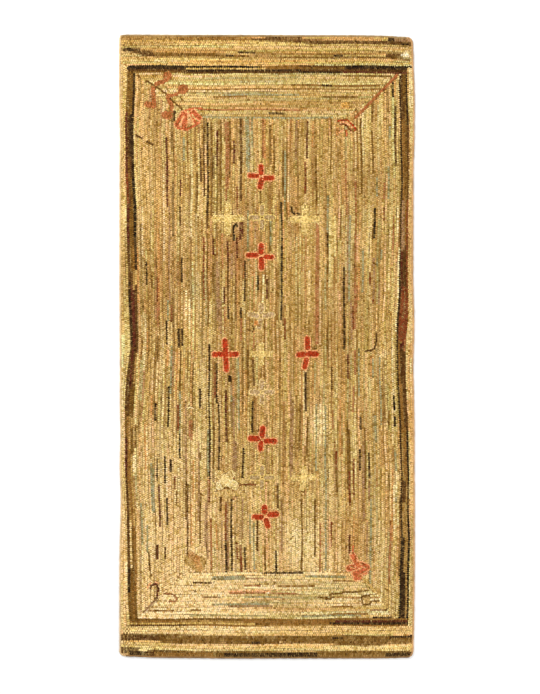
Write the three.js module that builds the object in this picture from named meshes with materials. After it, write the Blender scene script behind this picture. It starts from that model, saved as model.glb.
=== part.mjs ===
// A hooked rug lying flat: a foundation cloth filled with short hooked loops, and a narrow cloth binding
// turned over its edge. Millimetres, +Z up, +Y along the rug, origin in the middle of its underside.
import * as THREE from "three";

// Driving dimensions
const LENGTH = 1829;
const WIDTH = 867;
const PILE_HEIGHT = 8;
const BINDING_WIDTH = 6;
const BINDING_HEIGHT = 5.6;
const BINDING_NOSE = 2.6;
const SEAM_GAP = 0.3;

// The outer row of loops leans out, so the pile's rim is a quarter ellipse of this run and rise.
const SHOULDER_RUN = 5;
const SHOULDER_RISE = 2.8;

const LONG_STEPS = 56;
const END_STEPS = 28;
const ARC_STEPS = 6;
const NOSE_STEPS = 6;
const SHOULDER_STEPS = 4;
const LEAST_RADIUS = 1;
const CORNER_CLEARANCE = 25;

// How far the two long edges lie inside the widest line, at stations along the rug.
const SIDE_STATIONS = [
  { y: -914, left: 1.2, right: 4.4 },
  { y: -778, left: 1.0, right: 1.5 },
  { y: -640, left: 1.0, right: 0.0 },
  { y: -450, left: 5.0, right: 0.0 },
  { y: -356, left: 1.8, right: 0.6 },
  { y: -262, left: 4.1, right: 0.6 },
  { y: -168, left: 2.0, right: 1.8 },
  { y: -70, left: 2.3, right: 4.4 },
  { y: 65, left: 1.6, right: 1.5 },
  { y: 206, left: 0.9, right: 4.7 },
  { y: 535, left: 1.2, right: 3.8 },
  { y: 606, left: 1.9, right: 1.2 },
  { y: 722, left: 0.3, right: 0.2 },
  { y: 863, left: 0.0, right: 4.4 },
  { y: 914, left: 0.5, right: 6.5 },
];

// How far the two ends lie inside the longest line, at stations across the rug.
const END_STATIONS = [
  { x: -433, top: 0.6, bottom: 7.0 },
  { x: -396, top: 0.0, bottom: 5.6 },
  { x: -325, top: 0.6, bottom: 2.3 },
  { x: -255, top: 1.2, bottom: 1.5 },
  { x: -114, top: 1.4, bottom: 0.0 },
  { x: 97, top: 2.0, bottom: 0.2 },
  { x: 238, top: 2.2, bottom: 0.2 },
  { x: 343, top: 3.5, bottom: 0.6 },
  { x: 413, top: 7.6, bottom: 2.2 },
  { x: 433, top: 8.6, bottom: 3.0 },
];

// The corners in the order of an anticlockwise walk round the rug, with the angle where each arc starts.
const CORNERS = {
  bottomRight: { x: 1, y: -1, radius: 18, startDeg: -90 },
  topRight: { x: 1, y: 1, radius: 14, startDeg: 0 },
  topLeft: { x: -1, y: 1, radius: 9, startDeg: 90 },
  bottomLeft: { x: -1, y: -1, radius: 15, startDeg: 180 },
};

const PILE_CLOTH = new THREE.MeshStandardMaterial({
  name: "hooked_loops",
  color: 0xbd9457,
  roughness: 0.95,
  metalness: 0,
});
const BINDING_CLOTH = new THREE.MeshStandardMaterial({
  name: "binding_cloth",
  color: 0x9f7c56,
  roughness: 0.9,
  metalness: 0,
});

// Shares from 0 to 1 in equal steps, both ends included.
const shares = (steps) => Array.from({ length: steps + 1 }, (_, i) => i / steps);

// The value of a table's column at a place, eased between the stations on either side.
function columnAt(table, axis, column, place) {
  const after = table.findIndex((row) => row[axis] >= place);
  if (after === 0) return table[0][column];
  if (after < 0) return table[table.length - 1][column];
  const low = table[after - 1];
  const high = table[after];
  const share = THREE.MathUtils.smoothstep(place, low[axis], high[axis]);
  return THREE.MathUtils.lerp(low[column], high[column], share);
}

// Moves a point of the true rectangle to its place on the uneven rug.
function uneven({ x, y }) {
  const sideInset = columnAt(SIDE_STATIONS, "y", x < 0 ? "left" : "right", y);
  const endInset = columnAt(END_STATIONS, "x", y < 0 ? "bottom" : "top", x);
  return new THREE.Vector2(
    x * (1 - sideInset / (WIDTH / 2)),
    y * (1 - endInset / (LENGTH / 2)),
  );
}

// One rounded corner of the rectangle that lies inset inside the rug's widest lines.
function cornerArc({ x, y, radius, startDeg }, inset) {
  const reach = Math.max(radius - inset, LEAST_RADIUS);
  const centre = new THREE.Vector2(
    x * (WIDTH / 2 - inset - reach),
    y * (LENGTH / 2 - inset - reach),
  );
  return shares(ARC_STEPS).map((share) => {
    const angle = THREE.MathUtils.degToRad(startDeg + 90 * share);
    const spoke = new THREE.Vector2(Math.cos(angle), Math.sin(angle));
    return spoke.multiplyScalar(reach).add(centre);
  });
}

// Points from one point to another in equal steps, both ends included.
function straight(from, to, steps) {
  return shares(steps).map((share) => from.clone().lerp(to, share));
}

// A long edge at an inset, with the rounded corners at both its ends.
function longEdge(inset, fromCorner, toCorner) {
  const startArc = cornerArc(CORNERS[fromCorner], inset);
  const endArc = cornerArc(CORNERS[toCorner], inset);
  const between = straight(startArc.at(-1), endArc[0], LONG_STEPS).slice(1, -1);
  return [...startArc, ...between, ...endArc];
}

// An end of the rug at an inset, kept clear of the rounded corners by a given gap.
function shortEdge(inset, fromCorner, toCorner, gap) {
  const start = cornerArc(CORNERS[fromCorner], inset).at(-1);
  const end = cornerArc(CORNERS[toCorner], inset)[0];
  const share = gap / start.distanceTo(end);
  return straight(start.clone().lerp(end, share), end.clone().lerp(start, share), END_STEPS);
}

const EDGES = {
  right: (inset) => longEdge(inset, "bottomRight", "topRight"),
  top: (inset, gap) => shortEdge(inset, "topRight", "topLeft", gap),
  left: (inset) => longEdge(inset, "topLeft", "bottomLeft"),
  bottom: (inset, gap) => shortEdge(inset, "bottomLeft", "bottomRight", gap),
};

// The whole outline at an inset, anticlockwise seen from above.
function outline(inset) {
  const edges = Object.values(EDGES).map((edge) => edge(inset, CORNER_CLEARANCE));
  return edges.flat().map(uneven);
}

// One closed mesh through rings of equal length. Each ring runs anticlockwise seen from the last ring's
// end, and contour is the first and last ring drawn flat, for the two caps.
function loft(rings, contour) {
  const count = contour.length;
  const positions = rings.flat().flatMap((point) => point.toArray());
  const faces = [];
  for (let ring = 0; ring + 1 < rings.length; ring += 1) {
    for (let i = 0; i < count; i += 1) {
      const here = ring * count + i;
      const next = ring * count + ((i + 1) % count);
      faces.push(here, next, next + count, here, next + count, here + count);
    }
  }
  const lastRing = (rings.length - 1) * count;
  for (const [a, b, c] of THREE.ShapeUtils.triangulateShape(contour, [])) {
    faces.push(c, b, a, lastRing + a, lastRing + b, lastRing + c);
  }
  const geometry = new THREE.BufferGeometry();
  geometry.setAttribute("position", new THREE.Float32BufferAttribute(positions, 3));
  geometry.setIndex(faces);
  geometry.computeVertexNormals();
  return geometry;
}

// The foundation and its loops: straight up beside the binding, then over the rim to the level pile.
function bodyGeometry() {
  const side = BINDING_WIDTH + SEAM_GAP;
  const shoulder = shares(SHOULDER_STEPS).map((share) => ({
    inset: side + SHOULDER_RUN * (1 - Math.cos((share * Math.PI) / 2)),
    z: PILE_HEIGHT - SHOULDER_RISE * (1 - Math.sin((share * Math.PI) / 2)),
  }));
  const levels = [{ inset: side, z: 0 }, ...shoulder];
  const rings = levels.map(({ inset, z }) =>
    outline(inset).map((point) => new THREE.Vector3(point.x, point.y, z)),
  );
  return loft(rings, outline(side));
}

// The binding's section, anticlockwise: upright inside, level above and below, with a rounded nose.
function bindingSection() {
  const inner = [
    { inset: BINDING_WIDTH, z: 0 },
    { inset: BINDING_WIDTH, z: BINDING_HEIGHT },
  ];
  const nose = shares(NOSE_STEPS).map((share) => ({
    inset: BINDING_NOSE * (1 - Math.sin(share * Math.PI)),
    z: (BINDING_HEIGHT / 2) * (1 + Math.cos(share * Math.PI)),
  }));
  return [...inner, ...nose];
}

// One strip of binding along a named edge.
function bindingGeometry(edge) {
  const section = bindingSection();
  const lines = section.map(({ inset }) => EDGES[edge](inset, SEAM_GAP).map(uneven));
  const rings = lines[0].map((_, station) =>
    section.map(({ z }, i) => new THREE.Vector3(lines[i][station].x, lines[i][station].y, z)),
  );
  const contour = section.map(({ inset, z }) => new THREE.Vector2(inset, z));
  return loft(rings, contour);
}

function namedMesh(name, geometry, material) {
  const mesh = new THREE.Mesh(geometry, material);
  mesh.name = name;
  return mesh;
}

const rug = new THREE.Group();
rug.add(namedMesh("rug_body", bodyGeometry(), PILE_CLOTH));
for (const edge of Object.keys(EDGES)) {
  rug.add(namedMesh(`binding_${edge}`, bindingGeometry(edge), BINDING_CLOTH));
}

export default rug;
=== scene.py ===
import math

import bpy
import numpy as np
from mathutils.kdtree import KDTree
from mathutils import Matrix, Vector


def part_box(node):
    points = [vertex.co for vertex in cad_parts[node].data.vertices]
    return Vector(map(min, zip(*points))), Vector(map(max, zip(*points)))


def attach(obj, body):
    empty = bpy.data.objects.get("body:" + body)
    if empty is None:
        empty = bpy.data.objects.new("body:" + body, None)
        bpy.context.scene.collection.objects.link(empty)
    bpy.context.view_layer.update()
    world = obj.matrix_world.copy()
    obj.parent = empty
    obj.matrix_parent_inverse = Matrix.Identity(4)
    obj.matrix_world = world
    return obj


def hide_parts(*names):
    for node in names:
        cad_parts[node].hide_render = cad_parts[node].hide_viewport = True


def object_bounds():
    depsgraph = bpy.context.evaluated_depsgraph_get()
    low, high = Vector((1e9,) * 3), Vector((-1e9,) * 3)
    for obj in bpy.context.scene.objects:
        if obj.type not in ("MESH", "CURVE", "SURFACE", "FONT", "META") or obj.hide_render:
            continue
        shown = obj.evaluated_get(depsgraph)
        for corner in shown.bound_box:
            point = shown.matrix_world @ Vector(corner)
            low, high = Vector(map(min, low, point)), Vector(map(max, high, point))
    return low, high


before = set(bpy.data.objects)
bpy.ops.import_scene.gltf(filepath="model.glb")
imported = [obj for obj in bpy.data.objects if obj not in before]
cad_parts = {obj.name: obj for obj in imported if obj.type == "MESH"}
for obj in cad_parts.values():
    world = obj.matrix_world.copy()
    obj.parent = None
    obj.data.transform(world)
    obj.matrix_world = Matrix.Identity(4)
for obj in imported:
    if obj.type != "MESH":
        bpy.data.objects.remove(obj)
cad_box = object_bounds()

# A hooked rug lying face up: rag loops in rows on a burlap foundation, flowers hooked along their own
# petals, and a narrow cloth binding sewn over the edge. Charts are in the photo's pixels, x to the right
# and y down, and sizes are in metres.

rng = np.random.default_rng(1874)

# Where the photo's pixels lie on the rug
PHOTO_HEIGHT = 694
PHOTO_MIDDLE = (270.0, 347.0)
RUG_MIDDLE = (266.95, 346.5)
RUG_LENGTH_PX = 624.0
PIXEL = (cad_box[1][1] - cad_box[0][1]) / RUG_LENGTH_PX

# The hooked work, in metres, and its pitches in pixels
ROW_PITCH = 0.0054
LOOP_PITCH = 0.0062
FINE_PITCH = 0.0045
PILE_TOP = 0.0076
LOOP_ROOT = 0.0023
FOUNDATION_TOP = 0.0046
ROW = ROW_PITCH / PIXEL
LOOP = LOOP_PITCH / PIXEL
FINE = FINE_PITCH / PIXEL

# How uneven the straight rows are, in shares of a row or a loop, and the loops to spare in each row
ROW_SCATTER = 0.10
LOOP_SCATTER = 0.07
LENGTH_SPREAD = 0.14
LENGTH_LIMITS = (0.7, 1.4)
SPREAD_LIMITS = (0.8, 1.8)
SET_OFF = 0.46
SET_OFF_SPREAD = 0.05
SPARE_LOOPS = 8

# How far each row wanders, over what stretch, and how far the pile stays inside its outline, in pixels
WANDER = 0.22
WANDER_STRETCH = (9, 22)
PILE_MARGIN = 0.9

# The binding, in metres, with its section as distance out from the pile and height
TAPE_STEP = 0.006
END_REACH = 4 * TAPE_STEP
TAPE_SECTION = [
    (0.0003, 0.0),
    (0.0042, 0.0002),
    (0.0056, 0.0014),
    (0.0061, 0.0028),
    (0.0055, 0.0043),
    (0.0040, 0.0053),
    (0.0020, 0.0055),
    (0.0003, 0.0050),
]

# The tape puckers between its stitches, outward above its flat part and upward above its shoulder
TAPE_PUCKER = 0.00022
PUCKER_SCATTER = 0.8
PUCKER_RISE = 0.6
TAPE_FLAT = 0.001
TAPE_SHOULDER = 0.003
TAPE_FADE = 0.05
TAPE_COLOURS = {
    "binding_right": (212, 164, 110),
    "binding_top": (168, 138, 92),
    "binding_left": (222, 186, 132),
    "binding_bottom": (146, 110, 66),
}

# The hem stitches, with the thread's route as distance out from the pile and height
STITCH_STEP = 0.0075
STITCH_LEAN = 0.0022
STITCH_RADIUS = 0.00038
STITCH_SIDES = 5
STITCH_SCATTER = 0.0003
STITCH_ROUTE = [(-0.0004, 0.0040), (0.0006, 0.0056), (0.0018, 0.0060), (0.0027, 0.0054)]

# Rag and thread colours as they look in daylight, red, green and blue out of 255
PALETTE = {
    "ivory": (240, 200, 138),
    "cream": (230, 200, 138),
    "straw": (220, 186, 120),
    "butter": (218, 183, 106),
    "biscuit": (226, 184, 114),
    "flax": (199, 166, 100),
    "gold": (211, 174, 106),
    "honey": (203, 164, 90),
    "tan": (197, 158, 91),
    "blush": (214, 166, 112),
    "rose_tan": (200, 151, 90),
    "olive_gold": (187, 147, 78),
    "khaki": (170, 130, 67),
    "sage": (178, 157, 99),
    "teal_grey": (156, 146, 102),
    "mauve": (166, 125, 82),
    "umber": (146, 101, 42),
    "olive_brown": (122, 84, 28),
    "dark_umber": (92, 56, 18),
    "dark": (54, 32, 12),
    "black": (28, 18, 10),
    "maroon": (92, 38, 22),
    "rust": (128, 62, 28),
    "red_brown": (182, 110, 60),
    "fox": (168, 108, 62),
    "amber": (198, 140, 76),
    "orange": (212, 143, 74),
    "marigold": (220, 168, 86),
    "coral": (204, 109, 64),
    "red": (184, 60, 26),
    "peach": (228, 160, 104),
    "pale_yellow": (223, 189, 116),
    "grey_pink": (198, 164, 114),
    "dove": (190, 158, 106),
    "white": (226, 208, 166),
}


def to_linear(rgb):
    """A colour out of 255 as linear light, by the usual display curve."""
    share = np.asarray(rgb, dtype=float) / 255
    return np.where(share <= 0.04045, share / 12.92, ((share + 0.055) / 1.055) ** 2.4)


COLOUR = {name: to_linear(rgb) for name, rgb in PALETTE.items()}

# Lines of the design, in pixels
OUTER_LEFT, OUTER_RIGHT = 121.6, 412.2
OUTER_TOP, OUTER_BOTTOM = 37.1, 656.0
FRAME_LEFT, FRAME_RIGHT = (127.0, 135.0), (399.0, 407.5)
FRAME_TOP, FRAME_BOTTOM = (66.0, 73.6), (618.2, 626.0)
FIELD_LEFT, FIELD_RIGHT = 183.0, 345.0
FIELD_TOP, FIELD_BOTTOM = 118.6, 572.0

# Where the field's mix of rags changes, and where its loops are split into pieces
FIELD_THIRDS = (243, 300)
PIECE_SPLITS = (237, 291)

# Lines that a whole number of rows lies between
UPRIGHT_GUIDES = (OUTER_LEFT, *FRAME_LEFT, FIELD_LEFT, FIELD_RIGHT, *FRAME_RIGHT, OUTER_RIGHT)
LEVEL_GUIDES = (OUTER_TOP, *FRAME_TOP, FIELD_TOP, FIELD_BOTTOM, *FRAME_BOTTOM, OUTER_BOTTOM)

# The four mitred corners, each from the frame to the field
MITRES = {
    "top_left": ((135, 74), (183, 119)),
    "top_right": ((400, 75), (345, 118)),
    "bottom_left": ((140, 614), (193, 568)),
    "bottom_right": ((394, 619), (361, 571)),
}

# Where the two upright frame lines really run: y, then outer and inner edge left, inner and outer right
FRAME_DRIFT = np.array([
    (66, 127.4, 135.2, 399.3, 406.9),
    (130, 125.3, 133.3, 399.9, 408.6),
    (190, 126.3, 135.1, 400.6, 408.3),
    (250, 127.2, 136.6, 399.7, 407.8),
    (290, 128.9, 137.6, 398.4, 407.8),
    (320, 129.7, 137.6, 396.3, 407.2),
    (348, 131.0, 137.7, 396.0, 405.4),
    (362, 128.8, 136.4, 396.6, 405.4),
    (376, 126.3, 135.9, 397.2, 405.7),
    (392, 125.0, 134.3, 398.2, 406.5),
    (430, 125.0, 132.9, 399.1, 407.5),
    (470, 125.7, 133.0, 400.2, 408.6),
    (500, 126.2, 133.8, 400.5, 408.7),
    (540, 127.5, 136.1, 401.0, 409.6),
    (580, 128.1, 136.8, 399.0, 408.7),
    (626, 129.5, 137.6, 398.6, 407.7),
])

# How often each rag turns up, region by region
MIXES = {
    "outer_left": dict(straw=44, gold=40, flax=10, cream=6),
    "outer_right": dict(straw=32, gold=46, rose_tan=22),
    "outer_top": dict(honey=36, flax=28, gold=6, butter=8, tan=18, khaki=4),
    "outer_bottom": dict(biscuit=66, straw=14, gold=20),
    "left_side": dict(dark_umber=4, umber=8, khaki=9, mauve=6, rose_tan=4, olive_gold=13, tan=16, gold=21,
                      straw=15, cream=4),
    "field_left": dict(dark_umber=3, olive_brown=4, umber=8, khaki=16, rose_tan=3, olive_gold=19, sage=4,
                       tan=14, gold=18, straw=11),
    "field_middle": dict(olive_brown=3, umber=7, khaki=13, rose_tan=4, olive_gold=21, tan=24, gold=20,
                         straw=8),
    "field_right": dict(umber=8, khaki=13, rose_tan=3, olive_gold=17, tan=22, gold=25, straw=12),
    "right_side": dict(umber=8, khaki=13, sage=4, olive_gold=17, tan=22, gold=26, straw=10),
    "top_border": dict(umber=3, khaki=7, sage=7, olive_gold=6, tan=8, flax=30, gold=23, straw=16),
    "bottom_border": dict(umber=4, khaki=5, sage=5, olive_gold=4, tan=8, gold=9, straw=22, cream=43),
}

# The frame's four lanes, from the outside in: where each stretch starts and its four rags
LEFT_FRAME = [
    (66, "olive_brown", "olive_brown", "olive_brown", "dark"),
    (115, "maroon", "dark_umber", "dark", "dark"),
    (158, "maroon", "olive_brown", "dark_umber", "dark"),
    (178, "rust", "dark_umber", "olive_brown", "black"),
    (206, "maroon", "olive_brown", "olive_brown", "black"),
    (240, "dark_umber", "olive_brown", "umber", "dark"),
    (270, "dark_umber", "dark_umber", "khaki", "tan"),
    (284, "dark", "maroon", "maroon", "dark_umber"),
    (350, "dark_umber", "maroon", "dark_umber", "khaki"),
    (384, "dark_umber", "dark_umber", "olive_brown", "olive_brown"),
    (416, "olive_brown", "umber", "khaki", "olive_gold"),
    (436, "maroon", "umber", "olive_gold", "olive_brown"),
    (452, "maroon", "umber", "umber", "olive_gold"),
    (484, "dark_umber", "khaki", "umber", "olive_gold"),
    (524, "dark_umber", "straw", "olive_brown", "umber"),
    (568, "dark", "olive_brown", "olive_brown", "umber"),
    (592, "olive_brown", "olive_brown", "umber", "olive_brown"),
]
RIGHT_FRAME = [
    (66, "dark", "olive_brown", "dark_umber", "dark"),
    (125, "dark_umber", "olive_brown", "umber", "dark"),
    (200, "rust", "umber", "mauve", "dark"),
    (250, "rust", "dark_umber", "maroon", "dark"),
    (290, "rust", "rust", "rust", "dark"),
    (340, "fox", "maroon", "umber", "dark"),
    (356, "dark_umber", "dark_umber", "umber", "dark"),
    (428, "black", "umber", "khaki", "dark"),
    (484, "dark", "khaki", "dark_umber", "dark"),
    (504, "black", "khaki", "khaki", "dark"),
    (546, "black", "khaki", "dark", "black"),
]
TOP_FRAME = [
    (120, "black", "dark", "dark_umber", "olive_brown"),
    (186, "black", "honey", "dark", "dark_umber"),
    (262, "umber", "umber", "dark", "dark_umber"),
    (302, "dark_umber", "olive_brown", "dark_umber", "dark"),
    (346, "black", "dark", "dark_umber", "maroon"),
]
BOTTOM_FRAME = [
    (120, "dark_umber", "honey", "umber", "olive_brown"),
    (180, "umber", "honey", "khaki", "olive_brown"),
    (246, "khaki", "umber", "umber", "umber"),
    (330, "umber", "dark", "maroon", "umber"),
]

# Strips that stand out in the upright rows: x, top and bottom
UPRIGHT_STREAKS = {
    "dark": [
        (207.2, 120, 215), (174.2, 110, 121), (181, 258, 283), (245, 262, 300), (242, 305, 318),
        (328, 233, 250), (208.5, 343, 480), (217, 362, 402), (219, 400, 470), (200.5, 390, 410),
        (253, 400, 432), (169, 386, 425), (155, 402, 418), (243, 450, 478), (156.6, 457, 481),
        (165, 457, 482), (170.5, 459, 472), (226.4, 538, 571), (231.8, 498, 571), (167, 500, 525),
        (245.5, 548, 571), (276, 550, 572), (305, 371, 409), (343.8, 268, 352), (361, 416, 428),
        (360, 452, 470), (370, 453, 478), (393.5, 82, 96), (395.5, 105, 130), (147, 264, 286),
        (179, 330, 346), (182, 330, 347), (167.6, 320, 346), (227.8, 306, 318),
    ],
    "black": [
        (179, 433, 459), (375.5, 210, 236), (393, 396, 410), (393.6, 415, 426), (282.3, 200, 318),
        (258, 275, 290),
    ],
    "dark_umber": [
        (241.5, 118, 200), (395.5, 126, 166), (331, 368, 391), (221, 498, 512), (257, 522, 550),
        (277, 482, 508), (207.5, 215, 232), (180, 205, 226), (203.6, 120, 195), (200.5, 148, 182),
        (253.4, 361, 386), (187, 485, 560), (165, 548, 559), (228.6, 262, 290),
    ],
    "maroon": [
        (167.4, 137, 206), (180.2, 180, 197), (217, 130, 165), (212.6, 239, 257), (237.3, 240, 258),
        (306.4, 122, 160), (228.6, 242, 262), (224.6, 288, 306), (267.6, 280, 300), (347, 352, 376),
        (225, 392, 442), (350, 535, 552), (160.5, 484, 526), (233.5, 140, 163), (240.4, 223, 239),
        (242.2, 223, 239),
    ],
    "olive_brown": [
        (212, 120, 215), (221, 120, 212), (230.5, 120, 178), (196.5, 170, 210), (270.4, 125, 165),
        (274, 138, 176), (282.6, 150, 200), (331.5, 120, 175), (372, 130, 175), (361, 120, 195),
        (270.4, 225, 250), (214.2, 264, 292), (208, 232, 326), (316.6, 155, 200), (144.4, 300, 311),
        (163, 300, 312), (158, 334, 362), (180.6, 350, 400), (214.6, 362, 374), (232.4, 376, 400),
        (247.6, 350, 392), (192, 362, 430), (348, 418, 490), (349.8, 430, 480), (200.5, 495, 545),
        (175.8, 490, 506), (186.6, 455, 520), (214.6, 420, 468), (135.4, 424, 448), (200, 450, 462),
        (306.4, 418, 456), (300.4, 405, 450), (336.8, 470, 492), (389, 405, 424), (265.4, 548, 571),
        (302, 500, 571), (314.5, 500, 556), (365, 428, 490), (372.4, 104, 122), (328, 250, 275),
        (340, 210, 240), (372.4, 229, 238), (326.4, 330, 354),
    ],
    "rust": [
        (158, 279, 303), (237, 185, 212), (204, 235, 300), (306, 160, 195), (171.6, 305, 320),
        (285.5, 320, 340), (214.6, 374, 400), (175, 473, 490), (177.4, 405, 432), (210, 478, 502),
        (224.8, 500, 540), (237.2, 540, 558), (240.4, 547, 571), (350.6, 470, 505), (353.6, 460, 495),
        (335.6, 452, 470), (331, 520, 548), (370.6, 272, 288), (372.6, 286, 304), (384, 208, 220),
        (353.4, 308, 330),
    ],
    "fox": [
        (226.5, 122, 200), (228.3, 122, 190), (317.2, 224, 345), (315.4, 224, 345), (356.6, 285, 312),
        (394, 215, 250), (218, 280, 306), (355, 180, 330), (225, 305, 336), (332, 410, 427),
        (355, 350, 374), (353, 385, 411), (345.6, 160, 215), (389.6, 520, 585), (211.4, 520, 571),
        (189.6, 420, 438), (191.2, 420, 440), (320.6, 520, 572), (262.5, 118, 160), (157.4, 303, 328),
        (159.2, 300, 316), (241, 320, 338), (253.5, 334, 350), (384, 180, 200), (233, 475, 500),
    ],
    "amber": [
        (158.8, 236, 300), (152, 395, 420), (264.5, 120, 160), (252, 222, 246), (313.6, 120, 150),
        (147.5, 330, 350), (176.5, 350, 400), (217.6, 525, 552), (340.6, 400, 455), (358.4, 268, 300),
        (289, 203, 216), (194, 460, 500), (192, 505, 545), (371, 356, 376), (139, 250, 300),
        (146, 425, 470), (392, 470, 540),
    ],
    "teal_grey": [
        (246, 116, 168), (249, 118, 172), (252, 116, 150), (284.4, 150, 210), (181, 388, 432),
        (208, 430, 476), (151, 462, 510), (152.6, 466, 510), (148, 525, 552), (381, 358, 425),
        (375, 415, 440), (317, 405, 470), (326.5, 405, 571), (239, 350, 430), (371, 500, 592),
        (397, 450, 502), (390, 125, 142), (328, 196, 232), (362.6, 250, 292), (358, 350, 395),
        (373, 360, 380), (378, 258, 268), (349, 215, 300), (250.8, 515, 545), (253.8, 522, 571),
        (142, 505, 545), (183.8, 136, 162), (376, 178, 197), (389, 165, 200), (248, 210, 262),
        (270.5, 218, 246), (168.5, 300, 320), (171.8, 346, 395), (230.5, 384, 402), (382, 250, 262),
    ],
    "mauve": [
        (168.5, 206, 300), (170, 230, 305), (173.4, 350, 385), (221.5, 300, 335), (347, 205, 300),
        (234, 395, 472), (230.5, 375, 396), (290, 390, 476), (292, 400, 470), (295, 122, 160),
        (217, 262, 320), (219, 270, 330), (232, 252, 280), (373, 256, 300), (352, 300, 340),
        (186, 400, 470), (198, 440, 520), (207, 480, 560), (363, 440, 520), (379, 285, 305),
        (256, 210, 240), (228.6, 500, 571), (243, 500, 540), (281, 500, 550), (282.6, 500, 550),
        (204.5, 505, 545), (369.5, 480, 502), (367, 520, 560), (236.5, 440, 472),
    ],
    "cream": [
        (398, 205, 240), (398.2, 250, 332), (264, 275, 300), (320, 405, 446), (323, 410, 440),
        (314, 408, 440), (186, 290, 320), (190, 300, 330), (396, 470, 496), (134.5, 456, 472),
    ],
    "sage": [
        (142.5, 356, 400), (141, 362, 400), (238, 360, 410), (137, 475, 500), (326, 262, 310),
        (324.4, 280, 310), (314.6, 360, 395), (323, 380, 405), (351, 355, 372),
    ],
    "blush": [(356.6, 235, 262), (340, 290, 325), (154, 420, 450), (338.5, 180, 240)],
}

# Dark bands at the two ends: colour, then x, upper and lower edge along each
BANDS = [
    ("umber", [(120, 36.8, 39.0), (200, 38.0, 40.0), (255, 38.8, 40.8)]),
    ("dark_umber", [
        (255, 39.4, 40.8), (292, 40.0, 41.6), (305, 40.6, 43.6), (345, 40.8, 44.0), (360, 41.8, 43.4),
        (385, 41.8, 44.8), (411, 42.8, 46.2),
    ]),
    ("dark", [(120, 48.6, 52.0), (141, 49.2, 52.2)]),
    ("dark_umber", [(134, 50.4, 53.0), (146, 50.8, 56.4), (156, 53.0, 56.8)]),
    ("olive_brown", [
        (154, 53.0, 57.0), (175, 53.8, 57.2), (215, 54.2, 57.2), (232, 55.0, 57.6), (250, 55.8, 58.0),
    ]),
    ("olive_brown", [
        (248, 56.8, 58.0), (335, 57.0, 58.2), (352, 56.6, 58.0), (385, 57.4, 58.6), (411, 59.6, 60.8),
    ]),
    ("umber", [(252, 53.2, 54.2), (300, 53.6, 54.6), (340, 54.0, 54.9), (385, 53.0, 53.9)]),
    ("dark_umber", [(386, 53.6, 56.4), (403, 53.8, 56.6)]),
    ("dark_umber", [(121, 633.2, 639.8), (146, 634.0, 638.6), (164, 634.2, 640.0)]),
    ("olive_brown", [
        (160, 634.2, 642.0), (172, 634.2, 643.6), (220, 635.6, 643.8), (250, 636.6, 643.6),
        (280, 637.0, 643.0),
    ]),
    ("olive_brown", [(276, 636.8, 640.6), (305, 635.8, 643.4), (330, 635.2, 643.4)]),
    ("olive_brown", [
        (326, 636.0, 643.2), (360, 635.0, 645.6), (378, 635.0, 645.2), (395, 635.2, 643.0),
        (412, 636.0, 643.0),
    ]),
    ("dark_umber", [(120, 647.4, 649.4), (140, 648.0, 649.4)]),
    ("dark", [(121, 650.8, 652.6), (147, 651.2, 652.8)]),
    ("dark_umber", [(147, 650.4, 653.0), (174, 651.0, 653.4)]),
    ("olive_brown", [
        (172, 651.0, 653.8), (230, 651.6, 654.0), (300, 651.6, 654.2), (345, 651.4, 655.0),
        (390, 650.6, 653.8), (412, 650.4, 653.2),
    ]),
]

# Strips that stand out in the level rows: y, left and right
LEVEL_STREAKS = {
    "umber": [
        (89.5, 188, 282), (97.5, 214, 250), (85.6, 290, 380), (89.2, 270, 382), (580, 335, 355),
        (585.6, 275, 316), (605.6, 330, 352), (612.6, 330, 366), (610.8, 149, 174), (610.4, 191, 200),
        (616.4, 214, 262), (655.4, 152, 214),
    ],
    "dark_umber": [(583, 190, 213)],
    "honey": [(608.4, 330, 390), (611, 318, 340)],
    "olive_brown": [(98.2, 324, 358), (76, 340, 392)],
    "dark": [
        (39.8, 390, 409), (53.4, 240, 254), (55.4, 335, 343), (56, 226, 234), (44.6, 402, 411),
        (113.2, 268, 285), (573.2, 262, 304), (616.6, 375, 394), (86.3, 321, 331), (94, 210, 222),
        (642, 251, 260), (637.6, 331, 344), (637.4, 392, 412), (654.2, 222, 250), (656.2, 247, 320),
        (656, 385, 410),
    ],
    "fox": [(110.4, 206, 300), (592, 230, 264), (592.3, 270, 300), (585.4, 245, 262)],
    "peach": [(590.2, 228, 270)],
    "teal_grey": [
        (94.2, 222, 300), (577.4, 212, 246), (579.2, 212, 246), (596.8, 246, 282), (603.2, 215, 270),
        (577.2, 303, 346), (616, 300, 362), (118, 200, 332),
    ],
    "sage": [
        (78.2, 206, 300), (74.6, 270, 340), (98.4, 270, 330), (601.4, 246, 290), (614.4, 190, 262),
        (596.6, 282, 332), (92.4, 188, 270), (587.5, 315, 345),
    ],
    "mauve": [(605.2, 228, 272), (41.8, 392, 408), (596, 204, 222), (610, 372, 388), (578, 246, 262)],
    "white": [(55, 400, 409)],
}

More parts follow.
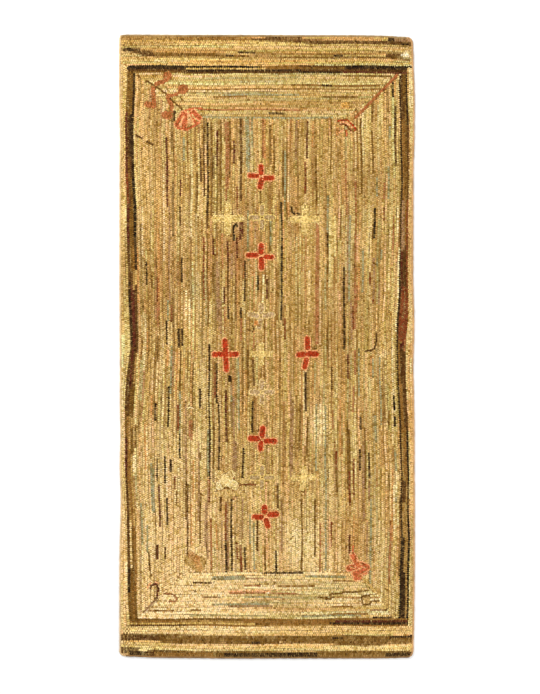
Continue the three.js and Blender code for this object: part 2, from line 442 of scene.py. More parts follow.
# Stains and wear: x, y, reach across and along, how strong, and the tint that shows through
BLOTCHES = [
    (152, 175, 18, 60, 0.50, "gold"),
    (322, 150, 18, 40, 0.40, "tan"),
    (380, 150, 18, 44, 0.40, "gold"),
    (194, 288, 5, 14, 0.50, "teal_grey"),
    (158, 135, 30, 36, 0.20, "umber"),
    (148, 285, 30, 46, 0.46, "umber"),
    (320, 186, 34, 22, 0.18, "umber"),
    (368, 184, 28, 22, 0.38, "umber"),
    (334, 322, 28, 40, 0.34, "umber"),
    (226, 368, 13, 40, 0.44, "umber"),
    (236, 252, 22, 32, 0.62, "fox"),
    (296, 208, 7, 6, 0.50, "umber"),
    (384, 248, 9, 16, 0.32, "umber"),
    (300, 450, 18, 12, 0.25, "umber"),
    (349, 250, 6, 45, 0.45, "sage"),
    (158, 230, 4, 60, 0.45, "amber"),
    (249, 142, 6, 26, 0.45, "teal_grey"),
    (354, 548, 18, 46, 0.40, "amber"),
    (319, 424, 9, 20, 0.85, "cream"),
    (188, 305, 8, 18, 0.26, "straw"),
    (186, 225, 10, 26, 0.30, "cream"),
    (204, 385, 8, 45, 0.40, "cream"),
    (190, 450, 14, 30, 0.35, "cream"),
    (381.5, 355.5, 4, 3.5, 0.75, "ivory"),
    (134, 464, 4, 10, 0.45, "cream"),
    (396, 480, 5, 14, 0.50, "cream"),
    (185, 556, 66, 66, 0.55, "ivory"),
    (306, 545, 26, 34, 0.70, "cream"),
    (196, 606, 56, 30, 0.70, "ivory"),
    (300, 106, 50, 9, 0.34, "umber"),
    (356, 296, 14, 18, 0.35, "umber"),
    (178, 272, 14, 40, 0.34, "umber"),
    (250, 500, 22, 36, 0.26, "straw"),
    (330, 492, 10, 34, 0.40, "cream"),
    (187, 335, 5, 16, 0.50, "honey"),
    (222, 140, 20, 30, 0.26, "straw"),
    (366, 426, 10, 26, 0.30, "umber"),
    (165, 465, 34, 50, 0.30, "cream"),
    (248, 205, 12, 14, 0.35, "umber"),
    (294, 370, 6, 24, 0.40, "umber"),
    (384, 362, 8, 26, 0.30, "straw"),
    (362, 245, 8, 18, 0.30, "straw"),
    (236, 606, 22, 12, 0.45, "ivory"),
    (215, 627, 28, 5, 0.60, "ivory"),
    (294, 604, 24, 10, 0.35, "khaki"),
    (294, 540, 8, 26, 0.62, "cream"),
    (145, 45, 28, 6, 0.64, "khaki"),
    (222, 345, 8, 10, 0.35, "umber"),
    (250, 248, 10, 12, 0.30, "umber"),
    (286, 296, 10, 16, 0.35, "gold"),
    (330, 303, 7, 10, 0.40, "straw"),
    (204, 456, 8, 18, 0.35, "cream"),
    (186, 388, 6, 12, 0.35, "umber"),
    (195, 514, 18, 20, 0.30, "ivory"),
    (148, 606, 12, 14, 0.40, "ivory"),
    (320, 562, 18, 10, 0.50, "ivory"),
    (380, 560, 12, 30, 0.42, "cream"),
    (230, 450, 60, 36, 0.18, "straw"),
    (126, 264, 8, 30, 0.30, "umber"),
    (150, 526, 10, 32, 0.36, "cream"),
    (258, 366, 14, 34, 0.22, "umber"),
    (206, 354, 10, 28, 0.22, "umber"),
    (240, 195, 10, 40, 0.24, "umber"),
    (366, 545, 8, 14, 0.30, "umber"),
    (358, 606, 14, 8, 0.36, "khaki"),
    (294, 228, 7, 8, 0.42, "umber"),
    (250, 312, 16, 22, 0.26, "umber"),
    (406, 56, 3, 4, 0.75, "white"),
]


def blossom(colour, x, y, reach, width, turns, gap=1.8):
    """Four petals round a middle: how far and wide they are, and the turn of each in degrees."""
    petals = []
    for quarter, turn in enumerate(turns):
        angle = math.radians(90 * quarter + turn)
        ahead = (math.cos(angle), math.sin(angle))
        base, tip = [(x + ahead[0] * far, y + ahead[1] * far) for far in (gap, reach)]
        petals.append((colour, width, base, tip))
    return petals


# Petals and buds, each with rounded ends: colour, width, base and tip, all in pixels
PETALS = [
    ("red", 4.8, (261.0, 175.8), (261.0, 164.4)),
    ("red", 4.4, (259.2, 176.2), (247.6, 175.6)),
    ("red", 4.8, (262.8, 178.4), (274.6, 178.2)),
    ("red", 5.0, (262.2, 177.8), (259.4, 189.6)),
    ("red", 5.2, (261.0, 255.0), (261.2, 243.0)),
    ("red", 5.0, (259.0, 255.2), (245.8, 255.4)),
    ("red", 4.6, (263.6, 257.0), (274.2, 257.2)),
    ("red", 5.2, (261.4, 256.4), (261.6, 270.4)),
    ("red", 5.2, (224.8, 338.4), (226.8, 372.2)),
    ("red", 5.2, (211.8, 354.4), (239.0, 354.2)),
    ("red", 5.0, (307.6, 350.4), (307.3, 336.2)),
    ("red", 5.2, (307.6, 353.9), (296.0, 355.0)),
    ("red", 5.6, (306.0, 353.8), (318.8, 354.0)),
    ("red", 5.0, (306.6, 357.2), (304.2, 369.4)),
    ("red", 5.4, (261.8, 438.0), (263.2, 425.6)),
    ("red", 5.6, (260.4, 438.5), (247.8, 438.3)),
    ("red", 5.2, (263.6, 441.0), (277.2, 441.0)),
    ("red", 5.0, (261.0, 440.4), (260.4, 451.2)),
    ("red", 5.8, (264.8, 514.2), (264.4, 504.6)),
    ("red", 5.4, (267.0, 514.8), (279.0, 513.5)),
    ("red", 5.2, (264.0, 516.8), (251.8, 516.8)),
    ("red", 5.0, (265.2, 517.6), (268.8, 528.2)),
    *blossom("pale_yellow", 228.0, 218.8, 16.6, 7.2, (-2, 2, 0, 0), gap=-3),
    *blossom("pale_yellow", 305.2, 219.4, 15.6, 7.0, (0, 2, 0, 0), gap=-3),
    *blossom("pale_yellow", 261.4, 354.0, 12.0, 5.6, (0, 0, 0, 0), gap=-3),
    ("cream", 8.6, (223.4, 478.2), (238.4, 487.8)),
    ("cream", 8.6, (228.6, 477.4), (216.4, 488.4)),
    ("straw", 8.0, (228.4, 482.6), (215.6, 470.8)),
    ("straw", 8.0, (222.6, 482.6), (234.4, 471.2)),
    *blossom("pale_yellow", 303.6, 477.8, 13.0, 6.0, (-6, 6, 0, 0), gap=-3),
    *blossom("dove", 262.2, 217.6, 13.0, 4.4, (0, 0, 0, 0)),
    *blossom("grey_pink", 261.0, 316.4, 13.5, 4.6, (-10, 8, 10, 4)),
    *blossom("grey_pink", 262.0, 392.0, 12.5, 4.4, (0, 0, 0, 0)),
    *blossom("dove", 262.0, 477.4, 12.5, 4.4, (0, 0, 0, 0)),
    ("red_brown", 8.2, (163.4, 76.8), (172.0, 75.2)),
    ("red_brown", 6.0, (156.4, 106.4), (144.2, 104.0)),
    ("red_brown", 9.4, (178.0, 90.2), (188.0, 88.6)),
    ("red_brown", 7.8, (172.6, 117.0), (161.6, 114.0)),
    ("coral", 4.4, (184.6, 112.0), (176.0, 127.0)),
    ("coral", 4.8, (186.2, 113.0), (183.6, 129.8)),
    ("blush", 4.2, (188.6, 114.0), (191.2, 127.4)),
    ("coral", 4.4, (190.6, 112.0), (197.6, 124.4)),
    ("coral", 4.2, (192.0, 111.0), (200.8, 119.8)),
    ("coral", 4.8, (351.4, 553.2), (358.4, 565.4)),
    ("coral", 5.8, (346.4, 568.6), (358.4, 566.0)),
    ("coral", 5.8, (357.6, 563.4), (369.4, 568.2)),
    ("coral", 5.6, (352.2, 574.0), (367.4, 570.4)),
    ("coral", 5.2, (353.6, 578.6), (361.4, 575.6)),
    ("marigold", 5.0, (350.0, 104.8), (340.6, 105.6)),
    ("tan", 6.2, (200.4, 570.8), (184.4, 557.4)),
    ("rose_tan", 6.4, (200.6, 570.8), (190.0, 552.0)),
    ("amber", 6.2, (200.6, 571.0), (196.0, 555.0)),
    ("tan", 6.0, (201.4, 570.4), (203.6, 556.4)),
]

# Everything else hooked along its own line: colour, width and the line
STROKES = [
    # Spray at the upper left
    ("umber", 1.5, [(137, 75), (141, 78)]),
    ("olive_brown", 1.6, [(145.6, 80.4), (154.5, 85.6), (166.4, 94.2), (172.7, 101.4), (183.6, 110.8)]),
    ("red_brown", 4.0, [(154.4, 85.0), (161, 82.8), (166.6, 80.6), (169.6, 77.6)]),
    ("red_brown", 4.2, [(153.4, 86.6), (153.2, 92.4), (154, 99.6), (154.2, 105)]),
    ("red_brown", 3.2, [(166.8, 94.8), (171, 96), (177.2, 94.4), (180, 91.8)]),
    ("red_brown", 3.9, [(167.6, 96.2), (169.6, 101.6), (172, 106.4), (171.4, 113)]),
    ("coral", 2.2, [(184.4, 111.4), (189, 109.6), (195.6, 108.4), (202.6, 109.2)]),
    ("red_brown", 1.5, [(202.6, 109.4), (219, 110.2)]),
    ("coral", 2.6, [(177, 128), (187.2, 129.8), (193, 126.8), (200.4, 122)]),
    ("peach", 1.6, [(184.4, 116), (179.6, 124.6)]),
    ("straw", 1.6, [(192.2, 114.4), (197, 121.4)]),
    ("olive_brown", 1.2, [(180, 97), (184, 101.6)]),
    ("umber", 1.4, [(167, 89.4), (170, 87.6)]),
    # Spray at the upper right
    ("red_brown", 2.8, [(397.6, 74.8), (376.4, 96.6), (354.6, 118.8)]),
    ("red", 1.5, [
        (337, 121.8), (341, 120.2), (347.4, 120.4), (351.4, 124.2), (355.6, 128.8), (354.6, 131.8),
    ]),
    ("peach", 2.0, [(339.6, 122.8), (344, 122.4), (347.8, 123.8), (353, 129.4)]),
    ("rust", 1.5, [(339, 125), (343.6, 124.8), (346.8, 126.4), (351.6, 131.8)]),
    ("amber", 3.0, [(337.4, 127), (337.2, 136)]),
    ("peach", 1.4, [(339, 133.4), (343.8, 129.6)]),
    ("coral", 1.6, [(346.4, 129.4), (346.6, 137)]),
    # Spray at the lower right
    ("coral", 1.8, [(353.2, 545.4), (352.4, 555)]),
    ("peach", 1.3, [(349, 566.6), (354, 568.6), (357.4, 566)]),
    ("peach", 1.3, [(350, 571.8), (356.4, 569.8)]),
    ("peach", 1.3, [(356, 559), (362, 565)]),
    ("peach", 1.3, [(360.6, 566.4), (366, 568)]),
    ("peach", 1.3, [(357.6, 576), (367, 571)]),
    ("honey", 3.0, [(364.6, 578.6), (375, 592)]),
    # Spray at the lower left
    ("peach", 1.8, [(147.6, 588.4), (148.8, 584.6), (151.4, 582.2)]),
    ("peach", 1.4, [(155, 581.2), (159.4, 583.4)]),
    ("maroon", 2.0, [
        (150.6, 589), (151.4, 586), (154.2, 583.4), (157.2, 584.6), (158.7, 588), (156.8, 598),
    ]),
    ("fox", 1.4, [
        (164.4, 592.8), (174.4, 594.4), (177, 597.4), (176.6, 600), (173.4, 601.6), (169.8, 600.8),
        (169.6, 598.4),
    ]),
    ("mauve", 1.4, [(158, 597), (143, 612.4)]),
    ("grey_pink", 1.5, [(159.4, 597.8), (144.6, 613)]),
    ("khaki", 1.2, [(176, 581), (181, 573), (183.4, 575.4)]),
    # Marks, mends and dark ends of strips
    ("dark_umber", 2.2, [(135.5, 136), (142.5, 138.2)]),
    ("dark_umber", 2.2, [(146.5, 141.5), (153.5, 145)]),
    ("dark_umber", 1.2, [(376.6, 333), (375.6, 345), (373.6, 349.4), (364, 351.4)]),
    ("tan", 4.2, [(364, 600), (370, 598.8)]),
    ("olive_brown", 1.3, [(361, 596.4), (372, 594.2)]),
    ("olive_brown", 1.3, [(361, 597), (363.6, 605), (369.2, 604), (371.6, 600.4), (379, 600.6)]),
    ("olive_brown", 1.6, [(329, 594.4), (345, 592), (368, 590.4)]),
    ("olive_brown", 1.4, [(318, 597), (330, 598.4), (335, 596.8)]),
    ("teal_grey", 1.6, [(147, 545), (148, 553)]),
    ("olive_brown", 1.6, [(148.4, 552), (149.8, 566), (151.6, 577)]),
    ("maroon", 1.6, [(157.4, 544), (157.6, 559)]),
    ("dark", 1.4, [(291, 206), (292.4, 213.4), (300, 214)]),
    ("olive_brown", 2.0, [(224, 487.6), (230, 488.2)]),
    ("rust", 1.3, [(238.6, 485.6), (243, 484.5), (256, 484.5)]),
    ("gold", 5.0, [(214, 494), (245, 493.4)]),
    ("black", 1.5, [(234, 241), (233.6, 228), (235, 224.4), (236.9, 223.9), (237.6, 227.4)]),
    ("dark", 3.2, [(229.6, 375.4), (229.8, 382)]),
    ("orange", 4.8, [(254, 323), (258.6, 323)]),
    ("dark_umber", 1.6, [(252.6, 326), (254, 329), (252.4, 332)]),
    ("olive_brown", 1.6, [(247, 329.4), (251, 330.6)]),
    ("olive_brown", 1.6, [(312.4, 348.8), (317.6, 348)]),
    ("olive_brown", 1.4, [(193.4, 590), (194.7, 591.6), (196, 590)]),
    ("peach", 1.3, [(259, 178), (263.2, 175.4)]),
    ("peach", 1.3, [(262.6, 514.2), (265.4, 516), (266.8, 517.6)]),
    ("peach", 1.3, [(260, 439.8), (262.6, 438.8), (264.6, 438.4)]),
    ("cream", 1.3, [(187, 410), (189.6, 407), (194, 408.6)]),
]

# Petals edged with one fine row: their colour and that of the row
EDGING = {"red": "peach", "coral": "peach", "grey_pink": "straw", "dove": "butter"}


def lerp(low, high, share):
    return low + (high - low) * share


# Fading changes blue the most, so a bleached rag turns pale and a soiled one brown
FADE_BY_CHANNEL = np.array([1.0, 1.25, 2.2])


def faded(colour, amount):
    return colour * np.exp(np.multiply.outer(amount, FADE_BY_CHANNEL))


# Dyes differ from orange to grey green and from grey to yellow
ORANGE = np.array([0.8, -0.8, -0.8])
YELLOW = np.array([0.0, 0.15, -1.0])


def tinted(colours, spreads):
    """Colours shifted at random between orange and grey green, and between grey and yellow."""
    shifts = [rng.normal(0, spread, len(colours)) for spread in spreads]
    return colours * np.exp(np.multiply.outer(shifts[0], ORANGE) + np.multiply.outer(shifts[1], YELLOW))


# The pile's real outline, from the frame
FLOOR_LEVEL = 0.0001
PLACE_DECIMALS = 6


def body_outline():
    """The pile's edge as the frame has it, anticlockwise, in metres."""
    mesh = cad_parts["rug_body"].data
    points = np.empty(len(mesh.vertices) * 3)
    mesh.vertices.foreach_get("co", points)
    points = points.reshape(-1, 3)
    on_floor = points[:, 2] < FLOOR_LEVEL
    ring = np.unique(np.round(points[on_floor, :2], PLACE_DECIMALS), axis=0)
    return ring[np.argsort(np.arctan2(ring[:, 1], ring[:, 0]))]


OUTLINE = body_outline()
OUTLINE_PX = np.column_stack([
    RUG_MIDDLE[0] + OUTLINE[:, 0] / PIXEL,
    RUG_MIDDLE[1] - OUTLINE[:, 1] / PIXEL,
])
OUTLINE_MIDDLE = OUTLINE_PX.mean(axis=0)

# An edge holds the points past this share of the way out from the middle
EDGE_SHARE = 0.94


def edge_line(axis, side):
    """One edge of the pile as a function of the other coordinate, in pixels."""
    out = OUTLINE_PX[:, axis] - OUTLINE_MIDDLE[axis]
    points = OUTLINE_PX[out * side > np.abs(out).max() * EDGE_SHARE]
    order = np.argsort(points[:, 1 - axis])
    return points[order, 1 - axis], points[order, axis]


EDGES = {
    "left": edge_line(0, -1),
    "right": edge_line(0, 1),
    "top": edge_line(1, -1),
    "bottom": edge_line(1, 1),
}

# Slow wavers of the rows: how far, the stretch along them and the stretch across, all in pixels
UPRIGHT_WAVERS = [(0.30, 23, 31), (0.22, 9.5, -17)]
LEVEL_WAVERS = [(0.30, 27, 13), (0.20, 11, -19)]
WAVER_EASE = 6

# Half the pile's width and length, in pixels
PILE_HALVES = (145, 310)


def shift_between(guides, shifts, place):
    """Blends the shifts of the two guide lines on either side of each place."""
    guides = np.asarray(guides)
    after = np.clip(np.searchsorted(guides, place), 1, len(guides) - 1)
    before = after - 1
    share = (place - guides[before]) / (guides[after] - guides[before])
    number = np.arange(len(place))
    return lerp(shifts[before, number], shifts[after, number], share)


def waver(wavers, along, across):
    return sum(far * np.sin(along / stretch + across / slant) for far, stretch, slant in wavers)


def eased(place, low, high):
    """Rises from 0 at both ends of a span to 1 inside it."""
    return np.clip(np.minimum(place - low, high - place) / WAVER_EASE, 0, 1)


def hooked_place(x, y):
    """Moves places on the true chart to where the uneven rug has them."""
    frame_y, *frame_lines = FRAME_DRIFT.T
    left_outer, left_inner, right_inner, right_outer = [np.interp(y, frame_y, line) for line in frame_lines]
    lines = [
        np.interp(y, *EDGES["left"]),
        left_outer,
        left_inner,
        np.full_like(y, FIELD_LEFT),
        np.full_like(y, FIELD_RIGHT),
        right_inner,
        right_outer,
        np.interp(y, *EDGES["right"]),
    ]
    shifts = np.array([line - guide for line, guide in zip(lines, UPRIGHT_GUIDES)])
    moved_x = x + shift_between(UPRIGHT_GUIDES, shifts, x)
    levels = [OUTER_TOP, FRAME_TOP[0], FRAME_BOTTOM[1], OUTER_BOTTOM]
    rises = np.array([
        np.interp(x, *EDGES["top"]) - OUTER_TOP,
        np.zeros_like(x),
        np.zeros_like(x),
        np.interp(x, *EDGES["bottom"]) - OUTER_BOTTOM,
    ])
    moved_y = y + shift_between(levels, rises, y)
    waver_x = waver(UPRIGHT_WAVERS, y, x) * eased(x, OUTER_LEFT, OUTER_RIGHT)
    waver_y = waver(LEVEL_WAVERS, x, y) * eased(y, OUTER_TOP, OUTER_BOTTOM)
    return moved_x + waver_x, moved_y + waver_y


def mitre_x(name, y):
    (x_frame, y_frame), (x_field, y_field) = MITRES[name]
    return lerp(x_frame, x_field, (y - y_frame) / (y_field - y_frame))


def in_level_rows(x, y):
    """True where the rug is hooked across: its ends, the frame's ends and the mitred end borders."""
    ends = (y < FRAME_TOP[0]) | (y > FRAME_BOTTOM[1])
    beside_frame = (x > FRAME_LEFT[0]) & (x < FRAME_RIGHT[1])
    frame_ends = beside_frame & ((y < FRAME_TOP[1]) | (y > FRAME_BOTTOM[0]))
    top = (y < FIELD_TOP) & (x > mitre_x("top_left", y)) & (x < mitre_x("top_right", y))
    bottom = (y > FIELD_BOTTOM) & (x > mitre_x("bottom_left", y)) & (x < mitre_x("bottom_right", y))
    return ends | frame_ends | top | bottom


def inside_outline(x, y, margin):
    """True where a place lies inside the pile's edge by a margin, in pixels."""
    middle_x, middle_y = OUTLINE_MIDDLE
    px = middle_x + (x - middle_x) * (1 + margin / PILE_HALVES[0])
    py = middle_y + (y - middle_y) * (1 + margin / PILE_HALVES[1])
    inside = np.zeros(len(x), dtype=bool)
    for (x1, y1), (x2, y2) in zip(OUTLINE_PX, np.roll(OUTLINE_PX, -1, axis=0)):
        if y1 == y2:
            continue
        crosses = (y1 > py) != (y2 > py)
        inside ^= crosses & (px < x1 + (py - y1) * (x2 - x1) / (y2 - y1))
    return inside


# What is kept for each loop: its place and heading, its row, its place on the true chart, its size and rag
LOOP_FIELDS = np.dtype([
    ("x", float), ("y", float), ("heading", float), ("row", int), ("chart_x", float), ("chart_y", float),
    ("length", float), ("width", float), ("lift", float), ("colour", float, 3),
])


def row_places(guides):
    """Where the rows lie and how wide each is, with a whole number of rows between any two guides."""
    places = []
    widths = []
    for low, high in zip(guides, guides[1:]):
        count = round((high - low) / ROW)
        width = (high - low) / count
        places.append(low + (np.arange(count) + 0.5) * width)
        widths.append(np.full(count, width))
    return np.concatenate(places), np.concatenate(widths)


def straight_rows(upright):
    """Loops in parallel rows over the whole rug, kept where the rug is hooked that way."""
    start, end = (OUTER_TOP, OUTER_BOTTOM) if upright else (OUTER_LEFT, OUTER_RIGHT)
    rows, widths = row_places(UPRIGHT_GUIDES if upright else LEVEL_GUIDES)
    count = len(rows)
    per_row = int((end - start) / LOOP) + SPARE_LOOPS
    grid = (count, per_row)
    lengths = LOOP * rng.normal(1, LENGTH_SPREAD, grid).clip(*LENGTH_LIMITS)
    set_off = np.cumsum(rng.normal(SET_OFF, SET_OFF_SPREAD, count))[:, None] % 1
    along = (start + LOOP * (np.arange(per_row) - set_off + rng.normal(0, LOOP_SCATTER, grid))).ravel()
    across = np.repeat(rows + rng.normal(0, ROW_SCATTER * ROW, count), per_row)
    stretch = np.repeat(rng.uniform(*WANDER_STRETCH, count), per_row)
    across += WANDER * np.sin(along / stretch + np.repeat(rng.uniform(0, math.tau, count), per_row))
    chart_x, chart_y = (across, along) if upright else (along, across)
    kept = in_level_rows(chart_x, chart_y) != upright
    chart_x, chart_y = chart_x[kept], chart_y[kept]
    ahead_x, ahead_y = (0.0, 1.0) if upright else (1.0, 0.0)
    x, y = hooked_place(chart_x, chart_y)
    next_x, next_y = hooked_place(chart_x + ahead_x, chart_y + ahead_y)
    side_x, side_y = hooked_place(chart_x + ahead_y / 2, chart_y + ahead_x / 2)
    other_x, other_y = hooked_place(chart_x - ahead_y / 2, chart_y - ahead_x / 2)
    spread = np.hypot(side_x - other_x, side_y - other_y)
    loops = np.zeros(len(x), LOOP_FIELDS)
    loops["x"], loops["y"] = x, y
    loops["chart_x"], loops["chart_y"] = chart_x, chart_y
    loops["row"] = np.repeat(np.arange(count), per_row)[kept]
    loops["heading"] = np.arctan2(-(next_y - y), next_x - x)
    loops["length"] = lengths.ravel()[kept] * PIXEL
    loops["width"] = np.repeat(widths, per_row)[kept] * PIXEL * spread.clip(*SPREAD_LIMITS)
    return loops[inside_outline(x, y, PILE_MARGIN)]


# Colours of the straight rows, with lengths in pixels
SOILING = 0.28
STRIP_FADE = 0.06
STRIP_TINTS = (0.045, 0.05)
DARK_RAG = 0.30
DARK_SHARES = (0.2, 1.8)
UPRIGHT_STRIPS = (16, 95)
LEVEL_STRIPS = (30, 150)
LANES = 4
LANE_SCATTER = 3
STREAK_COVER = (0.95, 0.14)
STREAK_RAGGED = 1.2
STREAK_SEARCH = 3
STREAK_REACH = 5
BAND_COVER = 1.9


def pick_strips(mix, count, dark_share):
    """Strips drawn from a mix, its dark rags taken more or less often by a factor."""
    names = list(mix)
    rags = np.array([COLOUR[name] for name in names])
    weights = np.array([mix[name] for name in names], dtype=float)
    weights[rags.mean(axis=1) < DARK_RAG] *= dark_share
    weights /= weights.sum()
    rags = lerp(rags, weights @ rags, SOILING)
    chosen = rng.choice(len(names), size=count, p=weights)
    return tinted(faded(rags[chosen], rng.normal(0, STRIP_FADE, count)), STRIP_TINTS)


def hit_or_miss(loops, across, along, mix_at, strip_lengths):
    """Fills rows with odd strips, with more of the dark rags in every other row."""
    shortest, longest = strip_lengths
    reach = along.max() - along.min() + longest
    for row in np.unique(loops["row"]):
        here = np.flatnonzero(loops["row"] == row)
        lengths = rng.uniform(shortest, longest, int(reach / shortest) + 2)
        ends = along.min() + np.cumsum(lengths) - longest / 2
        mix = MIXES[mix_at(across[here].mean())]
        strips = pick_strips(mix, len(ends) + 1, DARK_SHARES[row % 2])
        loops["colour"][here] = strips[np.searchsorted(ends, along[here])]


def upright_mix(x):
    if x < FRAME_LEFT[0]:
        return "outer_left"
    if x > FRAME_RIGHT[1]:
        return "outer_right"
    if x < FIELD_LEFT:
        return "left_side"
    if x < FIELD_THIRDS[0]:
        return "field_left"
    if x < FIELD_THIRDS[1]:
        return "field_middle"
    return "field_right" if x < FIELD_RIGHT else "right_side"


def level_mix(y):
    if y < FRAME_TOP[0]:
        return "outer_top"
    if y > FRAME_BOTTOM[1]:
        return "outer_bottom"
    return "top_border" if y < RUG_MIDDLE[1] else "bottom_border"


def paint_frame(loops, across, along, outside, inside, stretches):
    """Colours one side of the frame, lane by lane from its outside to its inside."""
    depth = (across - outside) / (inside - outside)
    in_frame = (depth >= 0) & (depth < 1)
    lanes = np.clip((depth * LANES).astype(int), 0, LANES - 1)
    starts = np.array([stretch[0] for stretch in stretches], dtype=float)
    for lane in range(LANES):
        own_starts = starts + rng.normal(0, LANE_SCATTER, len(starts))
        own_starts[0] = -np.inf
        here = np.flatnonzero(in_frame & (lanes == lane))
        stretch = np.searchsorted(np.sort(own_starts), along[here]) - 1
        rags = np.array([COLOUR[row[1 + lane]] for row in stretches])
        loops["colour"][here] = rags[stretch]


def paint_streaks(loops, across, along, streaks):
    """Gives the row nearest each charted streak its colour, a little less on some loops, as rags vary."""
    for name, places in streaks.items():
        for place, start, end in places:
            close = np.flatnonzero(np.abs(along - (start + end) / 2) < STREAK_SEARCH)
            if len(close) == 0:
                continue
            row = loops["row"][close[np.argmin(np.abs(across[close] - place))]]
            ragged = rng.normal(0, STREAK_RAGGED, 2)
            on_row = (loops["row"] == row) & (along > start + ragged[0]) & (along < end + ragged[1])
            near = on_row & (np.abs(across - place) < STREAK_REACH)
            cover = rng.normal(*STREAK_COVER, near.sum()).clip(0, 1)[:, None]
            loops["colour"][near] = lerp(loops["colour"][near], COLOUR[name], cover)


def paint_bands(loops):
    """Colours the loops that a dark band covers, in part where it covers them in part."""
    for name, stations in BANDS:
        x, upper, lower = np.array(stations, dtype=float).T
        top = np.maximum(loops["y"] - ROW / 2, np.interp(loops["x"], x, upper))
        bottom = np.minimum(loops["y"] + ROW / 2, np.interp(loops["x"], x, lower))
        reached = (loops["x"] > x[0]) & (loops["x"] < x[-1])
        cover = (BAND_COVER * (bottom - top) / ROW).clip(0, 1) * reached
        cover *= rng.normal(*STREAK_COVER, len(loops)).clip(0, 1)
        loops["colour"] = lerp(loops["colour"], COLOUR[name], cover[:, None])


def paint_blotches(loops):
    for x, y, reach_x, reach_y, strength, tint in BLOTCHES:
        far = ((loops["x"] - x) / reach_x) ** 2 + ((loops["y"] - y) / reach_y) ** 2
        share = (strength * np.exp(-far))[:, None]
        loops["colour"][:] = lerp(loops["colour"], COLOUR[tint], share)


def upright_loops():
    loops = straight_rows(upright=True)
    x, y = loops["chart_x"], loops["chart_y"]
    hit_or_miss(loops, x, y, upright_mix, UPRIGHT_STRIPS)
    paint_blotches(loops)
    paint_frame(loops, x, y, FRAME_LEFT[0], FRAME_LEFT[1], LEFT_FRAME)
    paint_frame(loops, x, y, FRAME_RIGHT[1], FRAME_RIGHT[0], RIGHT_FRAME)
    paint_streaks(loops, loops["x"], loops["y"], UPRIGHT_STREAKS)
    return loops


def level_loops():
    loops = straight_rows(upright=False)
    x, y = loops["chart_x"], loops["chart_y"]
    hit_or_miss(loops, y, x, level_mix, LEVEL_STRIPS)
    paint_blotches(loops)
    paint_frame(loops, y, x, FRAME_TOP[0], FRAME_TOP[1], TOP_FRAME)
    paint_frame(loops, y, x, FRAME_BOTTOM[1], FRAME_BOTTOM[0], BOTTOM_FRAME)
    paint_bands(loops)
    paint_streaks(loops, loops["y"], loops["x"], LEVEL_STREAKS)
    return loops


# Loops hooked along the lines of the flowers and sprays, with widths in pixels and lifts in metres
MOTIF_LIFT = 0.0004
MOTIF_FADE = 0.15
PETAL_END = 0.6
EDGING_WIDTH = 1.25
EDGING_POINTS = 17
EDGE_ROW_INSET = 0.7
EDGE_ROW_WIDTH = 1.9
EDGE_ROW_LIFT = -0.0014

# How near other loops come to these, in pixels
STROKE_ROOM = 0.8
PETAL_ROOM = 0.75
FLOWER_ROOM = 1.05
EDGING_ROOM = 0.65
EDGE_ROW_ROOM = 1.0


def distances(points):
    """How far along a line each of its points lies."""
    legs = np.linalg.norm(np.diff(points, axis=0), axis=1)
    return np.concatenate([[0], np.cumsum(legs)])


def row_of_loops(points, colour, width):
    """One row of loops along a line of points, all in pixels."""
    points = np.asarray(points, dtype=float)
    travelled = distances(points)
    steps = max(1, round(travelled[-1] / FINE))
    cuts = np.linspace(0, travelled[-1], steps + 1)
    x = np.interp(cuts, travelled, points[:, 0])
    y = np.interp(cuts, travelled, points[:, 1])
    loops = np.zeros(steps, LOOP_FIELDS)
    loops["x"] = (x[1:] + x[:-1]) / 2
    loops["y"] = (y[1:] + y[:-1]) / 2
    loops["heading"] = np.arctan2(-np.diff(y), np.diff(x))
    loops["length"] = np.hypot(np.diff(x), np.diff(y)) * PIXEL
    loops["width"] = width * PIXEL
    loops["lift"] = MOTIF_LIFT
    loops["colour"] = COLOUR[colour]
    return loops


def beside(points, offset):
    """A line of points moved sideways."""
    points = np.asarray(points, dtype=float)
    ahead = np.gradient(points, axis=0)
    ahead /= np.linalg.norm(ahead, axis=1, keepdims=True)
    return points + offset * np.column_stack([-ahead[:, 1], ahead[:, 0]])


def stroke_loops(colour, width, points):
    count = max(1, round(width / FINE))
    offsets = (np.arange(count) - (count - 1) / 2) * width / count
    return [row_of_loops(beside(points, offset), colour, width / count) for offset in offsets]


def petal_axes(width, base, tip):
    """A petal's middle, the ways along and across it, half its length and the length of its round ends."""
    base, tip = np.array(base), np.array(tip)
    reach = np.linalg.norm(tip - base) / 2
    ahead = (tip - base) / (2 * reach)
    sideways = np.array([-ahead[1], ahead[0]])
    return (base + tip) / 2, ahead, sideways, reach, min(reach, PETAL_END * width)


def petal_loops(colour, width, base, tip):
    middle, ahead, sideways, reach, round_end = petal_axes(width, base, tip)
    count = max(1, round(width / FINE))
    rows = []
    for row in range(count):
        aside = (2 * row + 1) / count - 1
        half = reach - round_end * (1 - math.sqrt(1 - aside**2))
        line = middle + sideways * aside * width / 2
        rows.append(row_of_loops([line - ahead * half, line + ahead * half], colour, width / count))
    return rows


def edging_loops(colour, width, base, tip):
    """One fine row round a petal."""
    middle, ahead, sideways, reach, round_end = petal_axes(width, base, tip)
    margin = EDGING_WIDTH / 2
    turns = np.linspace(0, math.tau, EDGING_POINTS)
    along = np.sign(np.cos(turns)) * (reach + margin - round_end) + np.cos(turns) * round_end
    across = np.sin(turns) * (width / 2 + margin)
    ring = middle + np.outer(along, ahead) + np.outer(across, sideways)
    return row_of_loops(ring, colour, EDGING_WIDTH)


